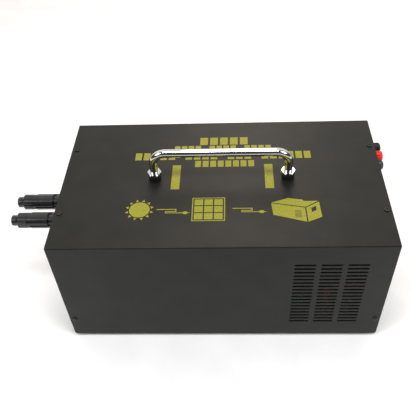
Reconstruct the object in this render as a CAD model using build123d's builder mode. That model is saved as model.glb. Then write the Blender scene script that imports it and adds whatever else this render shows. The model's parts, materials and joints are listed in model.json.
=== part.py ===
from build123d import *
from math import radians, tan
import os

# Portable off-grid solar inverter in a folded steel case with a carrying handle. The left end holds the
# two fans and the two solar inlets with their plugs, the right end the battery posts, the display with
# its buttons, the outlets and the power switch. The power electronics stand on a board inside.
# Millimetres, +X towards the battery end, +Y to the rear, +Z up. The origin is the centre of the overall
# footprint, plugs and knobs included, on the surface that the feet stand on.

os.makedirs("parts", exist_ok=True)

# Fits
thread_fit = 0.05      # radial clearance of a screw, stud or nut in its hole
running_fit = 0.08     # radial clearance of a piece that turns or slides on another
hole_gap = 0.4         # side clearance of a loose piece in its cut-out

# Proportions of screws and nuts
head_round = 0.45      # rounding of a screw head's edge, of the head's height
recess_reach = 0.55    # length of a screw's cross recess, of the head's diameter
recess_width = 0.12    # width of the recess, of the head's diameter
nut_turning = 0.985    # circle that a nut's corners are turned to, of the circle through them
nut_chamfer = 0.12     # of the nut's height
end_chamfer = 0.12     # at the end of a stud, of its diameter
end_round = 0.4        # at the end of a pin, of its diameter

# Case
case_length = 386.0
case_depth = 220.0
case_height = 170.0    # of the cover, from its lower edge to its top
cover_sheet = 1.2
tray_sheet = 1.2
panel_sheet = 1.5
bend_radius = 2.0      # outside radius of the cover's two long bends
corner_radius = 3.5    # lower corners of the cover's walls
panel_bend = 3.0       # outside radius of the end panels' folded edges
flange_width = 12.0
lip_height = 15.0
lip_end_gap = 2.0

# Vents, in three columns near the battery end of both long walls
vent_length = 24.0
vent_height = 3.0
vent_column_pitch = 29.6
vent_row_pitch = 6.47
vent_columns = 3
vent_rows = 18
vent_end_margin = 28.2
vent_lowest = 28.3

# Feet and screws
foot_height = 5.0
foot_diameter = 18.0
foot_chamfer = 0.8
foot_recess_diameter = 9.0
foot_recess = 2.8
foot_inset_x = 30.0
foot_inset_y = 25.0
foot_screw_diameter = 4.0
foot_screw_length = 8.0
foot_head_diameter = 7.0
foot_head_height = 2.2
case_screw_diameter = 3.0
case_screw_length = 7.0
case_head_diameter = 5.8
case_head_height = 1.6
case_screw_inset = 6.0     # from the end of the case
top_screw_spacing = 113.0
side_screw_height = 33.0
under_screw_spacing = 120.0

# Handle
handle_rod = 10.0
handle_pitch = 160.0
handle_rise = 40.0         # from the cover's top to the bar's centre line
handle_bend = 15.0
handle_tail = 13.0         # threaded end below the cover
handle_end_chamfer = 1.0
handle_bush_diameter = 15.0
handle_bush_height = 8.0
handle_nut_flats = 15.0
handle_nut_height = 4.0
handle_washer_diameter = 24.0
handle_washer_height = 1.5
handle_lock_height = 6.0

# Solar inlets: distances are measured outwards from the left panel's face
inlet_pitch = 32.4
inlet_offset = 8.2         # from the case's middle line towards the front
inlet_height = 125.0
inlet_body_diameter = 15.0
inlet_body_length = 22.0
inlet_flange_diameter = 19.0
inlet_flange_length = 3.0
inlet_sleeve_diameter = 11.6
inlet_sleeve_length = 17.0
inlet_bore_diameter = 7.2
inlet_stem_diameter = 12.0
inlet_stem_length = 14.0
inlet_nut_flats = 16.0
inlet_nut_height = 5.0
pin_diameter = 4.0
pin_shoulder = 18.0
pin_tip = 37.0
pin_back = 12.0
plug_gap = 0.4
plug_notch_diameter = 15.0
plug_notch_length = 1.0
plug_diameter = 19.2
plug_length = 27.2
plug_stem_diameter = 14.0
plug_stem_length = 7.6
plug_sleeve_room = 1.0     # free depth past the inlet's sleeve
latch_turn = 27.0          # degrees that the arms stand turned up from level
latch_width = 5.0
latch_reach = 6.0          # how far the arms reach over the inlet's body
latch_inner = 8.1
latch_outer = 9.8
latch_slot_width = 2.2
latch_slot_length = 23.0
latch_slot_depth = 2.2
gland_gap = 0.4
gland_diameter = 19.4
gland_length = 11.0
gland_cone_length = 2.6
gland_collar_length = 6.4
gland_collar_diameter = 13.6
gland_collar_round = 1.5
gland_grooves = 12
gland_groove_diameter = 4.0
gland_groove_depth = 0.4
gland_cable_diameter = 7.0
seal_length = 4.0
seal_bore = 5.0
seal_wall_gap = 0.1
contact_start = 20.0
contact_setback = 1.0      # the crimp's end inside the plug's stem
contact_pin_room = 1.0     # free depth past the pin's tip
contact_wall_gap = 0.05
contact_crimp_bore = 3.2
contact_crimp_depth = 10.0

# Battery posts: distances are measured outwards from the right panel's face
post_pitch = 17.0
post_rear_gap = 13.0       # the rearmost post from the rear wall's outer face
post_height = 131.0
stud_diameter = 6.0
stud_reach = 16.0
stud_tail = 14.5
post_bush_diameter = 15.6
post_bush_length = 4.0
post_neck_diameter = 10.0
post_neck_tail = 3.0       # the neck's reach behind the panel
post_washer_diameter = 14.0
post_washer_height = 1.2
knob_diameter = 16.2
knob_length = 15.3
earth_knob_diameter = 13.0
earth_knob_length = 13.3
knob_roof = 2.2
knob_flutes = 8
knob_flute_diameter = 2.8
knob_chamfer = 1.2         # at the knob's inner end
knob_round = 3.6           # at its outer end
post_nut_flats = 10.0
post_nut_height = 5.0
bar_width = 10.0
bar_thickness = 2.0
bar_foot = 26.0
bar_head = 9.0             # the bar's reach above its stud

# Fans, on the inside of the left panel
fan_size = 80.0
fan_thickness = 25.0
fan_gap = 8.0              # between the two frames
fan_low = 15.0             # lower edge of the frames above the cover's lower edge
fan_corner = 4.0
fan_hole_inset = 4.25      # of the screw holes from the frame's edges
fan_duct_wall = 2.0
fan_hub_diameter = 28.0
fan_hub_length = 16.0
fan_hub_round = 1.0
fan_hub_setback = 3.0      # the hub's front behind the panel's inner face
fan_mount_thickness = 3.0
fan_strut_width = 5.0
fan_shaft_diameter = 3.0
fan_blades = 7
fan_blade_chord = 15.0
fan_blade_thickness = 1.8
fan_blade_pitch = 40.0
fan_blade_root = 1.0       # how far a blade reaches into the hub
fan_tip_gap = 1.4
guard_wire = 1.6
guard_rings = 4
guard_wire_bite = 0.4      # depth of the weld where two wires cross
guard_ring_inner = 9.0
guard_eye_diameter = 6.2
fan_screw_diameter = 4.0
fan_screw_length = 12.0
fan_head_diameter = 7.0
fan_head_height = 2.0

# Display and its buttons, on the right panel
display_across = -55.0
display_height = 131.0
display_width = 72.0
display_rise = 38.0
display_rim = 2.5
display_border = 6.0
display_neck_wall = 1.5
display_corner = 3.0
display_chamfer = 0.75
window_setback = 1.25          # the window's face behind the bezel's
window_thickness = 1.5
display_glass = 5.0
display_board_depth = 11.0     # the board's front behind the panel's outer face
display_board_thickness = 1.6
display_board_width = 124.0
display_board_rise = 44.0
display_board_across = -31.0
button_first = -5.0
button_pitch = 15.0
button_diameter = 7.0
button_reach = 2.2
button_dome = 0.8
button_collar_diameter = 9.4
button_collar_length = 1.2
button_stem = 9.8              # the button's inner end behind the panel's outer face

# Outlets and power switch, on the right panel
outlet_places = (-60.0, -5.0)
outlet_height = 62.0
outlet_size = 46.0
outlet_corner = 4.0
outlet_rim = 3.0
outlet_chamfer = 0.75
outlet_box = 36.0
outlet_box_depth = 18.0
outlet_slot_length = 8.0
outlet_slot_width = 2.0
outlet_slot_spacing = 12.7
outlet_earth_diameter = 5.0
outlet_earth_drop = 10.0
outlet_hole_depth = 17.0
outlet_screw_spacing = 40.0
outlet_screw_diameter = 3.0
outlet_screw_length = 8.0
outlet_head_diameter = 5.4
outlet_head_height = 1.4
switch_across = 45.0
switch_height = 62.0
switch_width = 25.0
switch_rise = 31.0
switch_rim = 2.0
switch_corner = 2.0
switch_wall = 2.4
switch_body_depth = 22.0
switch_shoulder = 1.0          # the rim's overlap on the panel
rocker_half = 11.0
rocker_edge = 6.0              # the face's ends above the pivot
rocker_middle = 4.0
rocker_below = 3.0
rocker_tilt = 10.0
rocker_pivot_depth = 2.0       # the pivot behind the panel's outer face
rocker_pin_diameter = 3.0
rocker_sweep_gap = 0.35
rocker_side_gap = 0.4
rocker_pin_bite = 1.2

# Board and what stands on it
board_thickness = 1.6
board_left_gap = 40.0
board_right_gap = 24.0
board_side_gap = 4.8
standoff_height = 8.0
standoff_flats = 6.0
standoff_inset_x = 64.0
standoff_inset_y = 8.0
board_screw_diameter = 3.0
board_screw_length = 6.0
board_head_diameter = 5.4
board_head_height = 1.8
sink_length = 180.0
sink_left = 70.0               # from the left face
sink_base = 4.0
sink_height = 56.0
sink_fin_length = 16.0
sink_fin = 2.0
sink_fins = 7
sink_place = 62.0              # base's inner face from the middle line
transistor_width = 16.0
transistor_height = 21.0
transistor_thickness = 5.0
transistor_lift = 8.0
transistors_per_sink = 6
transistor_pitch = 27.0
core_width = 60.0
core_height = 50.0
core_depth = 22.0
core_leg = 16.0
core_window = 12.0
core_yoke = 8.0
core_pitch = 64.0
core_count = 3
core_left = 110.0              # the first core's middle from the left face
winding_bulge = 11.0
winding_gap = 0.3
winding_corner = 5.0
capacitor_diameter = 30.0
capacitor_height = 50.0
capacitor_pitch = 36.0
capacitor_right = 78.0         # middle of the four from the right face
capacitor_across = 14.0
capacitor_crimp = 1.5
block_length = 15.0
block_depth = 9.0
block_height = 16.0
block_right = 37.0
block_across = -80.0
block_holes = 3
block_hole_diameter = 3.4
block_hole_depth = 8.0
wire_diameter = 3.6
inlet_wire_diameter = 4.0
inlet_wire_run = 48.0
arc_share = 0.45               # of the shorter run that an arc between two runs takes up
outlet_wire_across = -84.0
outlet_wire_end = 36.0         # straight end of each wire behind its outlet
outlet_wire_drop = 10.0
neutral_start = 95.0           # where the wire leaves the board, from the right face
neutral_rise = 64.0
neutral_shift = 3.0            # where it enters the outlet, from the outlet's middle
live_start = 66.0
live_rise = 62.0
live_shift = -12.0
live_pitch = 4.4               # between the two live wires, side by side

# Places that follow from the sizes above
gland_tip_length = gland_cone_length + gland_collar_length
inlet_reach = inlet_body_length + plug_gap + plug_length + gland_gap + gland_length + gland_tip_length
post_reach = post_bush_length + post_washer_height + knob_length
case_x = (inlet_reach - post_reach) / 2
left_face = case_x - case_length / 2
right_face = case_x + case_length / 2
cover_bottom = foot_height
cover_top = cover_bottom + case_height
inner_depth = case_depth - 2 * cover_sheet
tray_top = cover_bottom + tray_sheet
board_top = tray_top + standoff_height + board_thickness

# Each side's plane has its origin at the cover's lower edge (the top's on the top face): across, up, out
left_side = Plane(origin=(left_face, 0, cover_bottom), x_dir=(0, -1, 0), z_dir=(-1, 0, 0))
right_side = Plane(origin=(right_face, 0, cover_bottom), x_dir=(0, 1, 0), z_dir=(1, 0, 0))
front_side = Plane(origin=(case_x, -case_depth / 2, cover_bottom), x_dir=(1, 0, 0), z_dir=(0, -1, 0))
rear_side = Plane(origin=(case_x, case_depth / 2, cover_bottom), x_dir=(-1, 0, 0), z_dir=(0, 1, 0))
top_side = Plane(origin=(case_x, 0, cover_top), x_dir=(1, 0, 0), z_dir=(0, 0, 1))
under_side = Plane(origin=(case_x, 0, cover_bottom), x_dir=(1, 0, 0), z_dir=(0, 0, -1))

centred = Align.CENTER
standing = (centred, centred, Align.MIN)
hanging = (centred, centred, Align.MAX)


def save(block, label):
    block.part.label = label
    export_step(block.part, f"parts/{label}.step")


def spots(side, points, out=0.0):
    """Locations on one side of the case, from pairs of across and up."""
    return [side.location * Location((across, up, out)) for across, up in points]


def save_copies(piece, label, places):
    with BuildPart() as copies:
        with Locations(*places):
            add(piece.part)
    save(copies, label)


def pan_screw(diameter, length, head_diameter, head_height):
    """A screw whose head stands on z = 0, with a cross recess."""
    long = head_diameter * recess_reach
    narrow = head_diameter * recess_width
    with BuildPart() as screw:
        Cylinder(head_diameter / 2, head_height, align=standing)
        fillet(screw.edges().group_by(Axis.Z)[-1], head_height * head_round)
        Cylinder(diameter / 2, length, align=hanging)
        with Locations((0, 0, head_height)):
            Box(long, narrow, head_height, align=hanging, mode=Mode.SUBTRACT)
            Box(narrow, long, head_height, align=hanging, mode=Mode.SUBTRACT)
    return screw


def hex_nut(across_flats, bore_diameter, height):
    """A nut that stands on z = 0 with two corners along X, its corners turned off at both ends."""
    corner = across_flats / 3 ** 0.5
    with BuildPart() as nut:
        Cylinder(corner * nut_turning, height, align=standing)
        chamfer(nut.edges().filter_by(GeomType.CIRCLE), height * nut_chamfer)
        with BuildSketch():
            RegularPolygon(corner, 6)
        extrude(amount=height, mode=Mode.INTERSECT)
        Cylinder(bore_diameter / 2, height, align=standing, mode=Mode.SUBTRACT)
    return nut


def tube(outer_diameter, inner_diameter, height):
    with BuildPart() as ring:
        Cylinder(outer_diameter / 2, height, align=standing)
        Cylinder(inner_diameter / 2, height, align=standing, mode=Mode.SUBTRACT)
    return ring


# Case screws, on the top, both long walls and the underside
screw_x = case_length / 2 - case_screw_inset
case_screw_places = (
    spots(top_side, [(x, y) for x in (-screw_x, screw_x)
                     for y in (-top_screw_spacing / 2, top_screw_spacing / 2)])
    + spots(front_side, [(-screw_x, side_screw_height), (screw_x, side_screw_height)])
    + spots(rear_side, [(-screw_x, side_screw_height), (screw_x, side_screw_height)])
    + spots(under_side, [(x, y) for x in (-screw_x, screw_x)
                         for y in (-under_screw_spacing / 2, under_screw_spacing / 2)]))
case_screw = pan_screw(case_screw_diameter, case_screw_length, case_head_diameter, case_head_height)
save_copies(case_screw, "case_screws", case_screw_places)
case_screw_hole = case_screw_diameter / 2 + thread_fit

# Feet, each with its screw in a recess
foot_x = case_length / 2 - foot_inset_x
foot_y = case_depth / 2 - foot_inset_y
foot_spots = [(case_x + x, y) for x in (-foot_x, foot_x) for y in (-foot_y, foot_y)]
foot_screw_hole = foot_screw_diameter / 2 + thread_fit
with BuildPart() as foot:
    Cylinder(foot_diameter / 2, foot_height, align=standing)
    chamfer(foot.edges().group_by(Axis.Z)[0], foot_chamfer)
    Cylinder(foot_recess_diameter / 2, foot_recess, align=standing, mode=Mode.SUBTRACT)
    Cylinder(foot_screw_hole, foot_height, align=standing, mode=Mode.SUBTRACT)
save_copies(foot, "rubber_feet", [Location((x, y, 0)) for x, y in foot_spots])
foot_screw = pan_screw(foot_screw_diameter, foot_screw_length, foot_head_diameter, foot_head_height)
save_copies(foot_screw, "foot_screws", [Location((x, y, foot_recess), (180, 0, 0)) for x, y in foot_spots])

# Base tray, a plate with a lip along the front and the rear
with BuildPart() as base_tray:
    with BuildSketch(Plane.XY.offset(cover_bottom)):
        with Locations((case_x, 0)):
            Rectangle(case_length, inner_depth)
    extrude(amount=tray_sheet)
    with BuildSketch(Plane.XY.offset(tray_top)):
        with Locations((case_x, 0)):
            with GridLocations(0, inner_depth - tray_sheet, 1, 2):
                Rectangle(case_length - 2 * (flange_width + lip_end_gap), tray_sheet)
    extrude(amount=lip_height)
    with Locations(*case_screw_places):
        Cylinder(case_screw_hole, 2 * case_screw_length, mode=Mode.SUBTRACT)
    with Locations(*[(x, y, cover_bottom) for x, y in foot_spots]):
        Cylinder(foot_screw_hole, 2 * tray_sheet, mode=Mode.SUBTRACT)
save(base_tray, "base_tray")

# Cover, folded over the top and both long walls
vent_across = case_length / 2 - vent_end_margin - vent_length / 2 - vent_column_pitch * (vent_columns - 1) / 2
vent_up = vent_lowest + vent_row_pitch * (vent_rows - 1) / 2
handle_legs = [(-handle_pitch / 2, 0), (handle_pitch / 2, 0)]
with BuildPart() as cover:
    with BuildSketch(Plane.YZ.offset(left_face)) as outer_fold:
        with Locations((0, cover_bottom)):
            Rectangle(case_depth, case_height, align=(centred, Align.MIN))
        fillet(outer_fold.vertices().group_by(Axis.Y)[-1], bend_radius)
    extrude(amount=case_length)
    with BuildSketch(Plane.YZ.offset(left_face)) as inner_fold:
        with Locations((0, cover_bottom)):
            Rectangle(inner_depth, case_height - cover_sheet, align=(centred, Align.MIN))
        fillet(inner_fold.vertices().group_by(Axis.Y)[-1], bend_radius - cover_sheet)
    extrude(amount=case_length, mode=Mode.SUBTRACT)
    fillet(cover.edges().filter_by(Axis.Y).group_by(Axis.Z)[0], corner_radius)
    with BuildSketch(front_side):
        with Locations((vent_across, vent_up)):
            with GridLocations(vent_column_pitch, vent_row_pitch, vent_columns, vent_rows):
                SlotOverall(vent_length, vent_height)
    extrude(amount=-case_depth, mode=Mode.SUBTRACT)
    with BuildSketch(top_side):
        with Locations(*handle_legs):
            Circle(handle_rod / 2 + thread_fit)
    extrude(amount=-2 * cover_sheet, mode=Mode.SUBTRACT)
    with Locations(*case_screw_places):
        Cylinder(case_screw_hole, 2 * case_screw_length, mode=Mode.SUBTRACT)
save(cover, "cover")

# Handle: a bent rod whose threaded ends pass through the cover and are nutted from both sides
handle_half = handle_pitch / 2
handle_low = -cover_sheet - handle_tail
with BuildPart() as handle:
    with BuildLine(Plane(origin=(case_x, 0, cover_top), x_dir=(1, 0, 0), z_dir=(0, -1, 0))) as handle_path:
        FilletPolyline((-handle_half, handle_low), (-handle_half, handle_rise),
                       (handle_half, handle_rise), (handle_half, handle_low), radius=handle_bend)
    with BuildSketch(Plane.XY.offset(cover_top + handle_low)):
        with Locations((case_x - handle_half, 0)):
            Circle(handle_rod / 2)
    sweep()
    chamfer(handle.edges().group_by(Axis.Z)[0], handle_end_chamfer)
save(handle, "handle")
handle_bore = handle_rod + 2 * thread_fit
handle_bush = tube(handle_bush_diameter, handle_bore, handle_bush_height)
save_copies(handle_bush, "handle_bushes", spots(top_side, handle_legs))
handle_hex_nut = hex_nut(handle_nut_flats, handle_bore, handle_nut_height)
save_copies(handle_hex_nut, "handle_hex_nuts", spots(top_side, handle_legs, handle_bush_height))
washer_out = -cover_sheet - handle_washer_height
handle_washer = tube(handle_washer_diameter, handle_bore, handle_washer_height)
save_copies(handle_washer, "handle_washers", spots(top_side, handle_legs, washer_out))
handle_lock_nut = hex_nut(handle_nut_flats, handle_bore, handle_lock_height)
save_copies(handle_lock_nut, "handle_lock_nuts",
            spots(top_side, handle_legs, washer_out - handle_lock_height))


def end_panel(side):
    """A plate with flanges folded inwards on all four sides, tapped for the case screws."""
    plate_height = case_height - cover_sheet - tray_sheet
    with BuildPart() as panel:
        with BuildSketch(side) as outline:
            with Locations((0, tray_sheet)):
                Rectangle(inner_depth, plate_height, align=(centred, Align.MIN))
            fillet(outline.vertices(), panel_bend)
        extrude(amount=-flange_width)
        with BuildSketch(side.offset(-panel_sheet)) as hollow:
            with Locations((0, tray_sheet + panel_sheet)):
                Rectangle(inner_depth - 2 * panel_sheet, plate_height - 2 * panel_sheet,
                          align=(centred, Align.MIN))
            fillet(hollow.vertices(), panel_bend - panel_sheet)
        extrude(amount=panel_sheet - flange_width, mode=Mode.SUBTRACT)
        with Locations(*case_screw_places):
            Cylinder(case_screw_hole, 2 * case_screw_length, mode=Mode.SUBTRACT)
    return panel


# Left panel, with the fans' ducts and the solar inlets' holes
fan_middle = fan_low + fan_size / 2
fan_spots = {"front": ((fan_size + fan_gap) / 2, fan_middle), "rear": (-(fan_size + fan_gap) / 2, fan_middle)}
inlet_spots = {"front": (inlet_offset + inlet_pitch / 2, inlet_height),
               "rear": (inlet_offset - inlet_pitch / 2, inlet_height)}
duct_radius = fan_size / 2 - fan_duct_wall
fan_hole_pitch = fan_size - 2 * fan_hole_inset
fan_screw_hole = fan_screw_diameter / 2 + thread_fit
left_blank = end_panel(left_side)
with BuildPart() as left_panel:
    add(left_blank.part)
    with BuildSketch(left_side):
        with Locations(*fan_spots.values()):
            Circle(duct_radius)
            with GridLocations(fan_hole_pitch, fan_hole_pitch, 2, 2):
                Circle(fan_screw_hole)
        with Locations(*inlet_spots.values()):
            Circle(inlet_stem_diameter / 2 + thread_fit)
    extrude(amount=-panel_sheet, mode=Mode.SUBTRACT)
save(left_panel, "left_panel")

# Right panel, with the openings for the display, buttons, outlets, power switch and battery posts
button_spots = [(button_first + button_pitch * i, display_height) for i in range(3)]
post_middle = case_depth / 2 - post_rear_gap - post_pitch
post_spots = {"negative": (post_middle + post_pitch, post_height), "positive": (post_middle, post_height),
              "earth": (post_middle - post_pitch, post_height)}
outlet_spots = [(across, outlet_height) for across in outlet_places]
button_hole = button_diameter / 2 + running_fit
right_blank = end_panel(right_side)
with BuildPart() as right_panel:
    add(right_blank.part)
    with BuildSketch(right_side):
        with Locations((display_across, display_height)):
            Rectangle(display_width - 2 * display_border + 2 * hole_gap,
                      display_rise - 2 * display_border + 2 * hole_gap)
        with Locations(*button_spots):
            Circle(button_hole)
        with Locations(*outlet_spots):
            Rectangle(outlet_box + 2 * hole_gap, outlet_box + 2 * hole_gap)
            with GridLocations(0, outlet_screw_spacing, 1, 2):
                Circle(outlet_screw_diameter / 2 + thread_fit)
        with Locations((switch_across, switch_height)):
            Rectangle(switch_width - 2 * switch_shoulder, switch_rise - 2 * switch_shoulder)
        with Locations(*post_spots.values()):
            Circle(post_neck_diameter / 2 + thread_fit)
    extrude(amount=-panel_sheet, mode=Mode.SUBTRACT)
save(right_panel, "right_panel")

# Solar inlets: a flanged body with a threaded stem through the panel and a sleeve for the plug
with BuildPart() as solar_inlet:
    Cylinder(inlet_flange_diameter / 2, inlet_flange_length, align=standing)
    Cylinder(inlet_body_diameter / 2, inlet_body_length, align=standing)
    Cylinder(inlet_sleeve_diameter / 2, inlet_body_length + inlet_sleeve_length, align=standing)
    Cylinder(inlet_stem_diameter / 2, inlet_stem_length, align=hanging)
    with Locations((0, 0, -inlet_stem_length)):
        Cylinder(inlet_bore_diameter / 2, inlet_stem_length + inlet_body_length + inlet_sleeve_length,
                 align=standing, mode=Mode.SUBTRACT)
save_copies(solar_inlet, "solar_inlets", spots(left_side, inlet_spots.values()))
inlet_nut = hex_nut(inlet_nut_flats, inlet_stem_diameter + 2 * thread_fit, inlet_nut_height)
save_copies(inlet_nut, "solar_inlet_nuts",
            spots(left_side, inlet_spots.values(), -panel_sheet - inlet_nut_height))
with BuildPart() as inlet_pin:
    with Locations((0, 0, -pin_back)):
        Cylinder(inlet_bore_diameter / 2 - thread_fit, pin_back + pin_shoulder, align=standing)
        Cylinder(pin_diameter / 2, pin_back + pin_tip, align=standing)
    fillet(inlet_pin.edges().group_by(Axis.Z)[-1], pin_diameter * end_round)
save_copies(inlet_pin, "solar_inlet_pins", spots(left_side, inlet_spots.values()))

# Solar plugs: body with two latch arms, gland nut with cable seal, and the contact inside
plug_start = inlet_body_length + plug_gap
plug_end = plug_start + plug_length
sleeve_room_end = inlet_body_length + inlet_sleeve_length + plug_sleeve_room
stem_end = plug_end + plug_stem_length
gland_start = plug_end + gland_gap
gland_end = gland_start + gland_length
contact_end = stem_end - contact_setback
seal_start = stem_end
plug_bore = inlet_bore_diameter / 2


def solar_plug(place):
    with BuildPart(Plane(place)) as plug:
        with Locations((0, 0, plug_start)):
            Cylinder(plug_notch_diameter / 2, plug_length, align=standing)
        with Locations((0, 0, plug_start + plug_notch_length)):
            Cylinder(plug_diameter / 2, plug_length - plug_notch_length, align=standing)
        with Locations((0, 0, plug_end)):
            Cylinder(plug_stem_diameter / 2, plug_stem_length, align=standing)
        with Locations(Location((0, 0, inlet_body_length - latch_reach), (0, 0, -latch_turn))):
            with GridLocations(latch_inner + latch_outer, 0, 2, 1):
                Box(latch_outer - latch_inner, latch_width, latch_reach + plug_gap + latch_slot_length,
                    align=standing)
        with Locations(Location((0, 0, plug_start + plug_notch_length), (0, 0, -latch_turn))):
            with GridLocations(2 * latch_outer, latch_width + latch_slot_width, 2, 2):
                Box(2 * latch_slot_depth, latch_slot_width, latch_slot_length, align=standing,
                    mode=Mode.SUBTRACT)
        with Locations((0, 0, plug_start)):
            Cylinder(inlet_sleeve_diameter / 2 + running_fit, sleeve_room_end - plug_start,
                     align=standing, mode=Mode.SUBTRACT)
            Cylinder(plug_bore, stem_end - plug_start, align=standing, mode=Mode.SUBTRACT)
    return plug


def gland_nut(place):
    groove_radius = (gland_diameter + gland_groove_diameter) / 2 - gland_groove_depth
    with BuildPart(Plane(place)) as nut:
        with Locations((0, 0, gland_start)):
            Cylinder(gland_diameter / 2, gland_length, align=standing)
        with Locations((0, 0, gland_end)):
            Cone(gland_diameter / 2, gland_collar_diameter / 2, gland_cone_length, align=standing)
        with Locations((0, 0, gland_end + gland_cone_length)):
            Cylinder(gland_collar_diameter / 2, gland_collar_length, align=standing)
        fillet(nut.edges().filter_by(GeomType.CIRCLE).sort_by(Axis.X)[0], gland_collar_round)
        with Locations((0, 0, gland_start)):
            with PolarLocations(groove_radius, gland_grooves):
                Cylinder(gland_groove_diameter / 2, gland_length, align=standing, mode=Mode.SUBTRACT)
        with Locations((0, 0, gland_start)):
            Cylinder(plug_stem_diameter / 2 + thread_fit, plug_stem_length, align=standing,
                     mode=Mode.SUBTRACT)
            Cylinder(gland_cable_diameter / 2, gland_length + gland_tip_length, align=standing,
                     mode=Mode.SUBTRACT)
        with Locations((0, 0, seal_start)):
            Cylinder(plug_stem_diameter / 2 + thread_fit, seal_length, align=standing, mode=Mode.SUBTRACT)
    return nut


def cable_seal(place):
    with BuildPart(Plane(place)) as seal:
        with Locations((0, 0, seal_start)):
            Cylinder(plug_stem_diameter / 2 - seal_wall_gap, seal_length, align=standing)
            Cylinder(seal_bore / 2, seal_length, align=standing, mode=Mode.SUBTRACT)
    return seal


def plug_contact(place):
    with BuildPart(Plane(place)) as contact:
        with Locations((0, 0, contact_start)):
            Cylinder(plug_bore - contact_wall_gap - thread_fit, contact_end - contact_start, align=standing)
            Cylinder(pin_diameter / 2 + running_fit, pin_tip + contact_pin_room - contact_start,
                     align=standing, mode=Mode.SUBTRACT)
        with Locations((0, 0, contact_end)):
            Cylinder(contact_crimp_bore / 2, contact_crimp_depth, align=hanging, mode=Mode.SUBTRACT)
    return contact


for end, spot in inlet_spots.items():
    place = spots(left_side, [spot])[0]
    save(solar_plug(place), f"solar_plug_{end}")
    save(gland_nut(place), f"gland_nut_{end}")
    save(cable_seal(place), f"cable_seal_{end}")
    save(plug_contact(place), f"plug_contact_{end}")

# Battery posts: a brass stud in an insulating bush, nutted inside against a bus bar, with a captive
# washer and a fluted knob outside
stud_bore = stud_diameter / 2 + thread_fit
with BuildPart() as post_stud:
    with Locations((0, 0, -stud_tail)):
        Cylinder(stud_diameter / 2, stud_tail + stud_reach, align=standing)
    chamfer(post_stud.edges().filter_by(GeomType.CIRCLE), stud_diameter * end_chamfer)
save_copies(post_stud, "post_studs", spots(right_side, post_spots.values()))
with BuildPart() as post_bush:
    Cylinder(post_bush_diameter / 2, post_bush_length, align=standing)
    fillet(post_bush.edges().group_by(Axis.Z)[-1], knob_chamfer / 2)
    Cylinder(post_neck_diameter / 2, panel_sheet + post_neck_tail, align=hanging)
    Cylinder(stud_bore, 2 * (stud_tail + stud_reach), mode=Mode.SUBTRACT)
save_copies(post_bush, "post_bushes", spots(right_side, post_spots.values()))
bar_out = -panel_sheet - post_neck_tail - bar_thickness
post_nut = hex_nut(post_nut_flats, 2 * stud_bore, post_nut_height)
save_copies(post_nut, "post_nuts", spots(right_side, post_spots.values(), bar_out - post_nut_height))
bar_length = cover_bottom + post_height + bar_head - board_top
with BuildPart() as bus_bar:
    with Locations((0, bar_head, bar_out)):
        Box(bar_width, bar_length, bar_thickness, align=(centred, Align.MAX, Align.MIN))
    with Locations((0, bar_head - bar_length, bar_out)):
        Box(bar_width, bar_thickness, bar_foot, align=(centred, Align.MIN, Align.MAX))
    Cylinder(stud_bore, 2 * (stud_tail + stud_reach), mode=Mode.SUBTRACT)
save_copies(bus_bar, "bus_bars", spots(right_side, post_spots.values()))


def post_washer(place):
    with BuildPart(Plane(place)) as washer:
        with Locations((0, 0, post_bush_length)):
            Cylinder(post_washer_diameter / 2, post_washer_height, align=standing)
            Cylinder(stud_diameter / 2 + running_fit, post_washer_height, align=standing, mode=Mode.SUBTRACT)
    return washer


def post_knob(place, diameter, length):
    knob_start = post_bush_length + post_washer_height
    with BuildPart(Plane(place)) as knob:
        with Locations((0, 0, knob_start)):
            Cylinder(diameter / 2, length, align=standing)
            inner_end, outer_end = knob.edges().filter_by(GeomType.CIRCLE).sort_by(Axis.X)
            chamfer(inner_end, knob_chamfer)
            fillet(outer_end, knob_round)
            with PolarLocations(diameter / 2, knob_flutes):
                Cylinder(knob_flute_diameter / 2, length, align=standing, mode=Mode.SUBTRACT)
            Cylinder(stud_diameter / 2 + running_fit, length - knob_roof, align=standing,
                     mode=Mode.SUBTRACT)
    return knob


knob_sizes = {"negative": (knob_diameter, knob_length), "positive": (knob_diameter, knob_length),
              "earth": (earth_knob_diameter, earth_knob_length)}
for pole, spot in post_spots.items():
    place = spots(right_side, [spot])[0]
    save(post_washer(place), f"post_washer_{pole}")
    save(post_knob(place, *knob_sizes[pole]), f"knob_{pole}")

# Fans: frame with a bearing mount on four struts, bladed rotor, and a welded wire guard outside
fan_back = -panel_sheet - fan_thickness
shaft_bore = fan_shaft_diameter / 2 + running_fit
with BuildPart() as fan_frame:
    with Locations((0, 0, fan_back)):
        Box(fan_size, fan_size, fan_thickness, align=standing)
        fillet(fan_frame.edges().filter_by(Axis.Z), fan_corner)
        Cylinder(duct_radius, fan_thickness, align=standing, mode=Mode.SUBTRACT)
        with PolarLocations((duct_radius + fan_shaft_diameter) / 2, 4):
            Box(duct_radius, fan_strut_width, fan_mount_thickness, align=standing)
        Cylinder(fan_hub_diameter / 2, fan_mount_thickness, align=standing)
        Cylinder(shaft_bore, fan_mount_thickness, align=standing, mode=Mode.SUBTRACT)
        with GridLocations(fan_hole_pitch, fan_hole_pitch, 2, 2):
            Cylinder(fan_screw_hole, fan_thickness, align=standing, mode=Mode.SUBTRACT)
save_copies(fan_frame, "fan_frames", spots(left_side, fan_spots.values()))


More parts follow.
